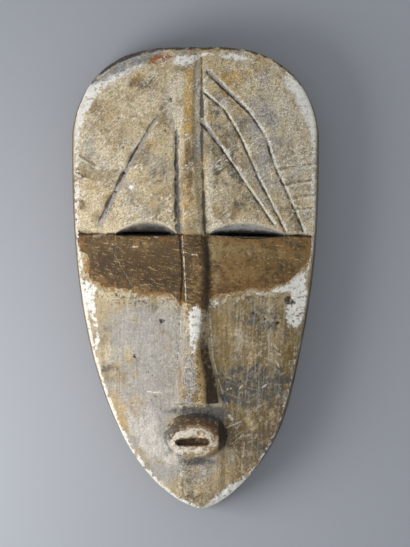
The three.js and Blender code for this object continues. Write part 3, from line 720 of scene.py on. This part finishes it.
def paintFields(x, y, z):
    # every field that a coat can lie on, at each vertex: mostly 0 to 1, or a distance where it has a line
    edge = edgeDistance(x, y)
    hollowed = (hollowLevel(x, y, z) < 1.07) | (z > 0.8 * blank["hollowDepth"])
    inner = hollowed & (edge > 3) & (z < plainFace(x, y) - 9)
    front = ease(-1.7, -0.5, edge) * (1 - inner)
    follow = {name: np.interp(x if name == "band" else y, *np.array(places).T)
              for name, places in edges.items()}
    overBrow = y - browLine(x)
    inBand = np.minimum(-0.2 - overBrow, y - follow["band"])
    inBand = np.minimum(inBand, np.minimum(x - follow["bandLeft"], follow["bandRight"] - x))
    rimClay = np.where(x < 0, follow["clayLeft"], follow["clayRight"])
    up, arc = lidShape(x, y)[:2]
    muzzle = ovalShare(x, y, mouth["foot"])
    middle, top = (station(ridge["stations"], k, y) for k in (1, 2))
    slotX, slotY, slotHalfX, slotHalfY = mouth["brownSlot"]
    measures = {
        "x": x, "y": y, "aside": np.abs(x), "overBrow": overBrow, "inBand": inBand,
        "muzzle": muzzle, "muzzleSlope": y + 0.2 * np.abs(x),
        "lipShare": ovalShare(x, y, mouth["paleLips"]),
        "slotShare": np.hypot(((x - slotX) / slotHalfX) ** 3, (y - slotY) / slotHalfY),
        "besideRidge": x - middle - top, "ridgeHeight": ridgeRelief(x, y),
    }
    onFront = {name: math.prod(ease(low, high, measures[kind]) for kind, low, high in limits)
               for name, limits in zones.items()}
    onFront.update({name: patchField(x, y, patches) for name, patches in paint.items()})
    # how scratched it is: most on the right of the forehead
    scuffs = (0.2 + uneven(x, y, "scuffs")) * (0.4 + 0.6 * ease(0, 26, y))
    scuffs = scuffs + 0.35 * (overBrow > 0) + 0.4 * bell(ovalShare(x, y, (44, 70, 30, 34)), 0, 1)
    # how strong the fine mottling is: most over the brow and on the ridge and nose, least on the left cheek
    rough = 0.42 + 0.3 * ease(25, 32, y) + 0.1 * ease(-8, 14, x) * ease(-90, 20, y)
    rough = rough + 0.32 * ease(10, 30, x) * (y < -20) + 0.8 * ease(12, 7, np.abs(x + 1)) * (y < 25)
    rough = rough * (1 - 0.2 * onFront["grime"].clip(0, 2)) * (1 - 0.7 * onFront["chalk"].clip(0, 1))
    rough = rough * (1 - 0.55 * onFront["lips"]) * (1 - 0.3 * ease(0, 2, inBand))
    onFront.update({
        "scuffed": scuffs.clip(0, 1.2),
        # painted shade with dirt on the right walls of the nose and the muzzle, which face away from the lamp
        "darkWall": np.maximum(onFront.pop("muzzleWall"), onFront.pop("noseWall")),
        "muzzleRust": bell(muzzle, 0.66, 0.17) * ease(-95, -90, y),
        "browCut": bell(up, -0.1, 0.9) * (arc < 0.4) * ease(6, 9, np.abs(x + 1)),
        "lid": np.where(arc > 0.4, 1 - up / np.maximum(arc, 0.4), 0).clip(0, 1) * (up > -1),
        "pit": sum(depth * bell(np.hypot(x - px, y - py), 0, radius * 0.8) for px, py, radius, depth in pits),
        # single scratches, and painted highlight along lit edges
        "stroke": sum(strength * bell(sideOfLine(x, y, bentLine(places), (width, width)), 0, 1)
                      for places, width, strength in scratchAndHighlightLines),
    })
    fields = {name: values * front for name, values in onFront.items()}
    for look in sorted({look for *cut, look in incisions}):
        fields[look + "Cut"] = nearestCut(x, y, look)
    fields.update({
        "front": front,
        "inside": inner.astype(float),
        "band": np.clip(inBand, -12, 12) + 12 * (front - 1),
        "rough": rough,
        "broken": ease(-0.4, 0.8, pastBreak(x, y, chips[0])) * ease(-3, -1.5, edge),
        # painted shade on the crown's turned edge, which faces away from the lamp
        "darkEdge": bell(edge, -0.5, 2.2) * ease(92, 116, y - 0.15 * x),
        # painted shade on the lower right side wall
        "side": ease(20, 60, x) * ease(60, -20, y) * (1 - front) * (1 - inner),
        "edgeLine": rimClay * ease(-1.7, -0.6, edge)
        * bell(edge, 0.2 + 1.4 * ease(20, 60, y), 1 + 0.6 * rimClay),
        "lidRim": np.where(arc > 0.4, up - arc, 9).clip(-9, 9),
        "muzzleFoot": (15 * (muzzle - 1)).clip(-9, 9) + 9 * ease(-90, -84, y),
    })
    return fields


count = len(body.data.vertices)
places = np.empty(count * 3)
body.data.vertices.foreach_get("co", places)
x, y, z = places.reshape(-1, 3).T / mm
fields = paintFields(x, y, z)
for name, values in fields.items():
    body.data.attributes.new(name, "FLOAT", "POINT").data.foreach_set("value", values)
print("paint fields laid:", count, "vertices")


def linearColour(hexText):
    # sRGB hex to linear red, green, blue and alpha
    parts = [int(hexText[k:k + 2], 16) / 255 for k in (1, 3, 5)]
    return [c / 12.92 if c <= 0.04045 else ((c + 0.055) / 1.055) ** 2.4 for c in parts] + [1]


def addNode(tree, kind, inputs=None, output=0, **settings):
    # one node: its settings, then each input as a value or as a link; what comes back is one of its outputs
    node = tree.nodes.new("ShaderNode" + kind)
    for name, value in settings.items():
        setattr(node, name, value)
    for name, value in (inputs or {}).items():
        if isinstance(value, bpy.types.NodeSocket):
            tree.links.new(value, node.inputs[name])
        else:
            node.inputs[name].default_value = value
    return node.outputs[output]


# Coats over the bare wood, from the bottom up: colour; where it lies; coarsest size in mm and spread of a
# noise; the two limits between which it comes in; its strength; the field it is kept within, if not the
# front; and the lay of the noise, if not even. It lies all over, by the noise alone; or on a field, with the
# noise as a share of it; or on a field in brackets, with the noise added; or, with the noise added, along a
# line in a field, given by its value there and its half width.
coats = [
    ("#b49f79", None, 20, 0, -2, -1, 1),  # rubbed face
    ("#d2bb90", "forehead", 26, 0.3, 0, 1.2, 0.8, None),  # lighter over the brow
    ("#e0cdaa", "outer", 27, 0.3, 0, 1, 0.75, "forehead"),
    ("#d4c3a0", None, 23, 1, -0.2, 1.9, 0.75),  # paler cream
    ("#8a7857", None, 17, 1, 0.2, 2.2, 0.75),  # olive-brown wear
    ("#a09b96", None, 19, 1, 0.4, 2.4, 0.45),  # greyish film
    ("#ad8a56", None, 15, 1, 0.3, 2.6, 0.45),  # ochre stains
    ("#aaa5a0", "clay", 11, 0.25, 0.1, 0.95, 0.87),
    ("#c2a064", "ochre", 7, 0.35, 0.15, 1.2, 0.85),
    ("#73593a", "umber", 8, 0.4, 0.3, 1.2, 0.85),
    ("#7a6438", "right", 6, 0.3, 0.1, 1.6, 0.85, "combed", "grain"),  # browner right cheek
    ("#d5cdc4", "bloom", 8, 0.3, 0.2, 1, 0.85),
    ("#55514a", "grime", 5, 0.4, 0.2, 1.6, 0.9),
    # cream, with painted highlight on the ridge's flanks that face the lamp
    ("#dfd1b7", "cream", 9, 0.2, 0.2, 1, 0.85),
    ("#deb56c", "honey", 5, 0.3, 0.2, 1, 0.85),
    ("#857c70", "combed", 1.4, 0.5, 0.9, 2.4, 0.3, "front", "grain"),  # fine dark streaks down the cheeks
    ("#d0cabf", "combed", 1.2, 0.5, 1, 2.4, 0.25, "front", "grainFine"),  # and pale ones
    ("#766748", None, 4.2, 1, 0.3, 2.6, 0.5, "rough"),  # dark mottling
    ("#e3d6b9", None, 2.7, 1, 0.4, 2.6, 0.42, "rough"),  # pale clay in the pores
    ("#5a4f3e", None, 1.3, 1, 0.8, 2.8, 0.45, "forehead"),  # dark pores
    ("#ebe2cf", None, 3.4, 1, -0.4, -0.08, 0.75, "scuffed", "slantLines"),  # pale scratches one way
    ("#e6dcc8", None, 2.8, 1, -0.32, -0.06, 0.6, "scuffed", "crossLines"),  # and the other
    ("#4d4233", None, 3.2, 1, -0.28, -0.05, 0.5, "scuffed", "webLines"),  # dark curved ones
    ("#3a3026", None, 1.5, 1, 2.6, 3.2, 0.8),  # black specks
    ("#574020", ("band",), 6.5, 0.7, -0.1, 0.7, 0.97, None),  # brown band
    ("#937140", "thin", 8, 0.3, 0, 1.5, 0.82, "painted"),  # worn thinner on the right
    ("#55452f", "painted", 14, 1, 1, 2.8, 0.5, "painted"),  # greyish brown
    ("#9b875c", "thinned", 5, 0.4, 0.2, 1.2, 0.85, "painted"),
    ("#8f7145", "gold", 3.4, 0.4, 0.2, 1.6, 0.75),
    ("#483520", "brown", 4.6, 0.4, 0.2, 1.5, 0.8, "painted"),
    ("#a07c48", "painted", 1.8, 1, 2, 3.4, 0.36, "painted", "across"),  # short golden strokes across it
    ("#3b2a1a", "painted", 2.2, 1, 1.6, 3.2, 0.5, "painted"),
    ("#bda176", "painted", 0.9, 1, 2.6, 3.4, 0.5, "painted", "across"),  # pale scratches
    ("#c2ab84", "painted", 1.1, 1, 3, 3.8, 0.5, "painted"),  # pale specks
    ("#9a733d", ("band", -0.4, 2.2), 3.2, 0.5, 0.5, 1.2, 0.85, "belowBrow"),  # the brown run thin below it
    ("#8d6233", ("band", 2.6, 4), 5, 0.5, 0.6, 1.6, 0.55, "painted"),  # warmer near its lower edge
    ("#cfc1a2", ("band", -2.8, 3.2), 2.6, 0.6, 0.8, 1.5, 0.7, "belowBrow"),
    ("#4f4940", ("band", -5, 5), 1.7, 0.8, 1.5, 2.4, 0.7, "belowBrow"),
    ("#85827f", ("troughCut", 0.1, 1.5), 4.5, 0.2, 0.1, 0.6, 0.85),  # painted shade with soot in the left trough, and darker on its left flank, which faces away from the lamp
    ("#3d3935", ("troughCut", -0.7, 0.75), 3.4, 0.3, 0.2, 1, 0.85),
    ("#433e39", ("seamCut", -0.1, 1.3), 9, 0.2, 0.1, 0.9, 0.85),  # and a dark line of painted shade with soot in the right one
    ("#a59d97", ("darkCut", 0.3, 1.4), 3.8, 0.15, 0, 0.6, 0.8),  # grey left gash, dark on one side
    ("#453d35", ("darkCut", -0.65, 0.75), 9, 0.25, 0.2, 0.9, 0.85),
    ("#aba59e", ("greyCut", 0, 1.3), 3.8, 0.15, 0, 0.5, 0.85),
    # painted shade on the lower left flank of each grey cut, which faces away from the lamp, and painted
    # highlight on its upper right flank, which faces the lamp
    ("#3f3429", ("greyCut", -0.9, 0.7), 5, 0.3, 0.1, 0.8, 0.9),
    ("#d9d1c2", ("greyCut", 1.1, 0.6), 5, 0.3, 0.2, 1, 0.8),
    ("#8d857b", ("faintCut", 0, 1.3), 3, 0.3, 0.4, 1.1, 0.7),
    # painted shade on the lower left flank of each pale cut, which faces away from the lamp, and painted
    # highlight on its upper right flank, which faces the lamp
    ("#42372b", ("paleCut", -0.6, 1), 5.2, 0.3, 0.1, 0.8, 0.85),
    ("#e8e1d2", ("paleCut", 0.75, 0.95), 4.8, 0.2, 0.1, 0.7, 0.95),
    ("#a9894f", ("ochreCut", 0, 1.6), 3, 0.3, 0.3, 1, 0.8),
    # painted shade along the middle of the ticks' cuts, and a pale line along their lower side
    ("#7d694b", ("tickCut", -0.1, 1.1), 4, 0.4, 0.1, 1, 0.65),
    ("#e4dcc8", ("tickCut", -1.5, 1.1), 2.4, 0.3, 0.2, 0.8, 0.9),
    ("#5f5d5b", "lid", 4, 0.1, 0, 0.3, 0.9, None),  # grey inside the lids, darkening towards the slit as painted shade in the foot of the scoop
    ("#3a3937", "lid", 5, 0.15, 0.25, 0.65, 0.9, None),
    ("#b2b1af", ("lid", 0.36, 0.34), 5, 0.2, 0, 1.1, 0.85, "right"),  # paler grey in the right one, and painted light on its flank, which faces the lamp
    # painted shade, near black, along the slit at the foot of the lids
    ("#211c18", "lid", 3, 0.1, 0.8, 0.96, 0.9, None),
    ("#3b2e22", "browCut", 7, 0.25, 0.3, 0.8, 0.85, None),  # painted shade in the cut along the brow
    ("#cfc6b3", ("lidRim", 0.4, 0.8), 5, 0.2, 0.2, 0.9, 0.7),  # pale line along the rim of the lids
    ("#4b3a29", "muzzleTop", 2.5, 0.3, 0.3, 0.9, 0.85, None),  # brown upper slope of the muzzle
    ("#6d4a2e", "muzzleRust", 3, 0.4, 0.2, 1.1, 0.85, None),  # rust-brown over the upper lip
    ("#e8decb", "lips", 3.4, 0.3, 0.3, 1.1, 0.85, None),
    ("#9a7b48", "amber", 3.2, 0.45, 0.2, 1.6, 0.8, None),
    ("#8a6238", "lips", 3, 0.6, 1.4, 2.4, 0.7, None),  # brown showing through on the lips
    # painted shade in the crease round the muzzle's foot, below its middle
    ("#75736f", ("muzzleFoot", 0.9, 1.6), 4, 0.25, 0.3, 0.8, 0.6),
    # painted shade with dirt on the right walls of the nose and the muzzle, which face away from the lamp
    ("#32251a", "darkWall", 4, 0.2, 0.05, 0.95, 0.9, None),
    ("#b0b0b0", "broken", 5, 0.4, 0.2, 1.1, 0.8, None),  # grey break at the crown
    ("#dcdad4", None, 5, 1, -0.35, -0.1, 0.8, "broken", "webLines"),
    ("#55483c", None, 5, 1, -0.2, -0.05, 0.7, "broken", "crossLines"),
    ("#453225", "darkEdge", 5, 0.3, 0.3, 0.8, 0.85, None),  # painted shade on the turned edge at the crown, which faces away from the lamp
    ("#f3efe6", "chalk", 2.4, 0.34, 0.26, 0.95, 0.95),
    ("#b9b0a0", None, 2.3, 1, 0.7, 1.9, 0.5, "chalk"),  # dulled in places
    ("#ece6d8", "edgeLine", 2.8, 0.4, 0.3, 0.85, 0.95, None),  # and along the worn edge
    ("#2d251d", "pit", 1.6, 0.4, 0.35, 0.8, 0.85, None),  # holes and knots
    ("#48423a", "side", 9, 0.4, 0.2, 1.2, 0.8, None),  # painted shade on the lower right side wall, which faces away from the lamp
    ("#e2dac8", "stroke", 1.4, 0.25, 0.35, 0.7, 0.85, None),  # single scratches, and painted highlight along lit edges
    ("#965731", "rust", 2.4, 0.5, 0.4, 1.2, 0.85, None),
    # painted shade with soot under the nose's base, beside the muzzle and in the groove under the lip
    ("#4d4e52", "soot", 5, 0.2, 0.1, 1.1, 0.8, None),
    ("#7d5d3c", "slot", 2, 0.3, 0.1, 0.5, 0.8, None),  # brown inside the mouth
    # darker brown in the middle of the slot: painted shade in the deep cut
    ("#46331f", "slot", 3, 0.15, 0.5, 0.9, 0.85, None),
    ("#6f5639", "inside", 1.4, 0.15, 0.3, 0.7, 0.95, None, "grain"),  # raw wood of the hollow
    ("#4f3b26", "inside", 15, 1, 1.6, 2.6, 0.6, "inside"),
]

# How the noises lie: stretched along X, Y and Z, then turned about Z. The noise of a lay of lines is folded
# about its middle, so that the coat follows thin lines through it.
lays = {
    "even": ((1, 1, 1), 0),
    "grain": ((1, 16, 2), 2),
    "grainFine": ((1, 24, 2), -3),
    "across": ((1, 8, 1), 78),
    "slantLines": ((1, 6, 1), -52),
    "crossLines": ((1, 4, 1), 30),
    "webLines": ((1, 1, 1), 20),
    "brushed": ((1, 4.5, 1), -50),
    "crossed": ((1, 2.5, 1), 30),
}

wood = {
    "bare": "#786d5a",
    "finestSize": 0.9, "octaveSpread": 0.1115,  # of a coat's noise; its standard deviation in one octave
    "fall": 0.65, "broadFall": 0.5, "broadSize": 6,  # from octave to octave, and in stains over that size
    "mottleSize": 0.4, "mottleSpan": (0.7, 1.3), "mottleShade": (0.36, 1.64),
    "roughness": 0.86, "paintRoughness": 0.7, "specular": 0.35,
    "streakSize": 0.8, "streakShare": 0.45, "bumpStrength": 0.8, "bumpDistance": 0.45,
}


def coatMask(tree, laid, held, place, size, spread, low, high, strength, within="front", lay="even"):
    # the mask of one coat; its noise is in units of its own spread, which is that of one octave times
    # sqrt(sum of the squared falls) / sum of the falls
    octaves = min(3, max(2, round(math.log2(size / wood["finestSize"]))))
    fall = wood["broadFall"] if size > wood["broadSize"] else wood["fall"]
    falls = fall ** np.arange(octaves + 1)
    gain = float(spread * falls.sum() / (wood["octaveSpread"] * math.sqrt((falls ** 2).sum())))
    look = {"Vector": laid[lay], "Scale": 1 / (size * mm), "Detail": octaves, "Roughness": fall}
    amount = addNode(tree, "TexNoise", look)
    amount = addNode(tree, "Math", {0: amount, 1: gain, 2: -gain / 2}, operation="MULTIPLY_ADD")
    if lay.endswith("Lines"):
        amount = addNode(tree, "Math", {0: amount}, operation="ABSOLUTE")
        amount = addNode(tree, "Math", {0: amount, 1: -1}, operation="MULTIPLY")
    if isinstance(place, str):
        amount = addNode(tree, "Math", {0: amount, 1: held[place], 2: held[place]}, operation="MULTIPLY_ADD")
    elif place:
        name, centre, half = (*place, None, None)[:3]
        field = held[name]
        if half:
            away = addNode(tree, "Math", {0: field, 1: centre}, operation="SUBTRACT")
            away = addNode(tree, "Math", {0: away}, operation="ABSOLUTE")
            field = addNode(tree, "MapRange", {"Value": away, "From Max": half, "To Min": 1, "To Max": 0})
            near = addNode(tree, "Math", {0: field, 1: 0}, operation="GREATER_THAN")
            amount = addNode(tree, "Math", {0: amount, 1: near}, operation="MULTIPLY")
        amount = addNode(tree, "Math", {0: amount, 1: field}, operation="ADD")
    span = {"Value": amount, "From Min": low, "From Max": high, "To Max": strength}
    mask = addNode(tree, "MapRange", span, interpolation_type="SMOOTHSTEP")
    if within:
        mask = addNode(tree, "Math", {0: mask, 1: held[within]}, operation="MULTIPLY")
    return mask


def pigmentedWood():
    # Soft light hardwood, knife-carved, rubbed with white clay and soot and painted brown across the eyes,
    # with painted shade in its hollows and painted highlight on flanks that face the lamp: dry and matt all
    # over, mottled at a millimetre, with the band a little smoother than the rest.
    material = bpy.data.materials.new("clayRubbedCarvedWood")
    material.use_nodes = True
    tree = material.node_tree
    shader = tree.nodes["Principled BSDF"]
    position = addNode(tree, "TexCoord", output="Object")
    laid = {}
    for name, (scale, turn) in lays.items():
        lie = {"Vector": position, "Scale": scale, "Rotation": (0, 0, math.radians(turn))}
        laid[name] = addNode(tree, "Mapping", lie, vector_type="TEXTURE")
    held = {name: addNode(tree, "Attribute", output="Fac", attribute_name=name) for name in fields}
    colour = linearColour(wood["bare"])
    for hexText, *look in coats:
        mix = {0: coatMask(tree, laid, held, *look), 6: colour, 7: linearColour(hexText)}
        colour = addNode(tree, "Mix", mix, output=2, data_type="RGBA")
    scale = 1 / (wood["mottleSize"] * mm)
    one, other = (addNode(tree, "TexNoise", {"Vector": laid[lay], "Scale": scale, "Detail": 1})
                  for lay in ("brushed", "crossed"))
    mottle = addNode(tree, "Math", {0: one, 1: other}, operation="ADD")
    spans = dict(zip(("From Min", "From Max", "To Min", "To Max"), wood["mottleSpan"] + wood["mottleShade"]))
    shade = addNode(tree, "MapRange", {"Value": mottle, **spans})
    mix = {0: held["rough"], 6: colour, 7: shade}
    dusted = addNode(tree, "Mix", mix, output=2, data_type="RGBA", blend_type="MULTIPLY")
    tree.links.new(dusted, shader.inputs["Base Color"])
    span = {"Value": held["painted"], "To Min": wood["roughness"], "To Max": wood["paintRoughness"]}
    tree.links.new(addNode(tree, "MapRange", span), shader.inputs["Roughness"])
    shader.inputs["Specular IOR Level"].default_value = wood["specular"]
    look = {"Vector": laid["grain"], "Scale": 1 / (wood["streakSize"] * mm), "Detail": 3}
    grain = addNode(tree, "TexNoise", look)
    streaks = addNode(tree, "Math", {0: grain, 1: wood["streakShare"]}, operation="MULTIPLY")
    height = addNode(tree, "Math", {0: mottle, 1: held["rough"], 2: streaks}, operation="MULTIPLY_ADD")
    bump = {"Height": height, "Strength": wood["bumpStrength"], "Distance": wood["bumpDistance"] * mm}
    tree.links.new(addNode(tree, "Bump", bump), shader.inputs["Normal"])
    return material


body.data.materials.clear()
body.data.materials.append(pigmentedWood())
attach(body, "root")
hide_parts("mask")
print("mask dressed")

studio = {
    "floor": "#a8aaaf", "floorSize": 6000, "floorRoughness": 0.9,
    "keyPlace": (-0.33, -0.13, 0.27), "keySize": 0.28, "keyPower": 1.5,  # m, m and W
    "worldColour": "#dfe4ea", "worldStrength": 0.62,
    "lensHeight": 0.9, "sensor": 36,  # m over the floor; mm
    "lensOver": (5.77, 2.58),  # the place of the floor under the lens
    "frameHeight": 547 * 0.6074,  # what the frame takes in at the floor
}

corners = np.array([(-1, -1, 0), (1, -1, 0), (1, 1, 0), (-1, 1, 0)]) * studio["floorSize"] / 2
floor = makeObject("floor", corners, [(0, 1, 2, 3)])
floorPaint = bpy.data.materials.new("mattPaintedBoard")  # plain pale board, no gloss
floorPaint.use_nodes = True
floorShader = floorPaint.node_tree.nodes["Principled BSDF"]
floorShader.inputs["Base Color"].default_value = linearColour(studio["floor"])
floorShader.inputs["Roughness"].default_value = studio["floorRoughness"]
floor.data.materials.append(floorPaint)

keyData = bpy.data.lights.new("window", "AREA")
keyData.shape = "SQUARE"
keyData.size = studio["keySize"]
keyData.energy = studio["keyPower"]
key = placeObject("window", keyData)
key.location = studio["keyPlace"]
key.rotation_euler = Vector(studio["keyPlace"]).to_track_quat("Z", "Y").to_euler()

world = bpy.data.worlds.new("room")
world.use_nodes = True
background = world.node_tree.nodes["Background"]
background.inputs["Color"].default_value = linearColour(studio["worldColour"])
background.inputs["Strength"].default_value = studio["worldStrength"]
bpy.context.scene.world = world

cameraData = bpy.data.cameras.new("above")
cameraData.sensor_fit = "VERTICAL"
cameraData.sensor_height = studio["sensor"]
cameraData.lens = studio["sensor"] * studio["lensHeight"] / (studio["frameHeight"] * mm)
camera = placeObject("above", cameraData)
camera.location = (studio["lensOver"][0] * mm, studio["lensOver"][1] * mm, studio["lensHeight"])
bpy.context.scene.camera = camera
bpy.context.scene.view_settings.view_transform = "Standard"
print("floor, light and camera placed")

bpy.context.view_layer.update()
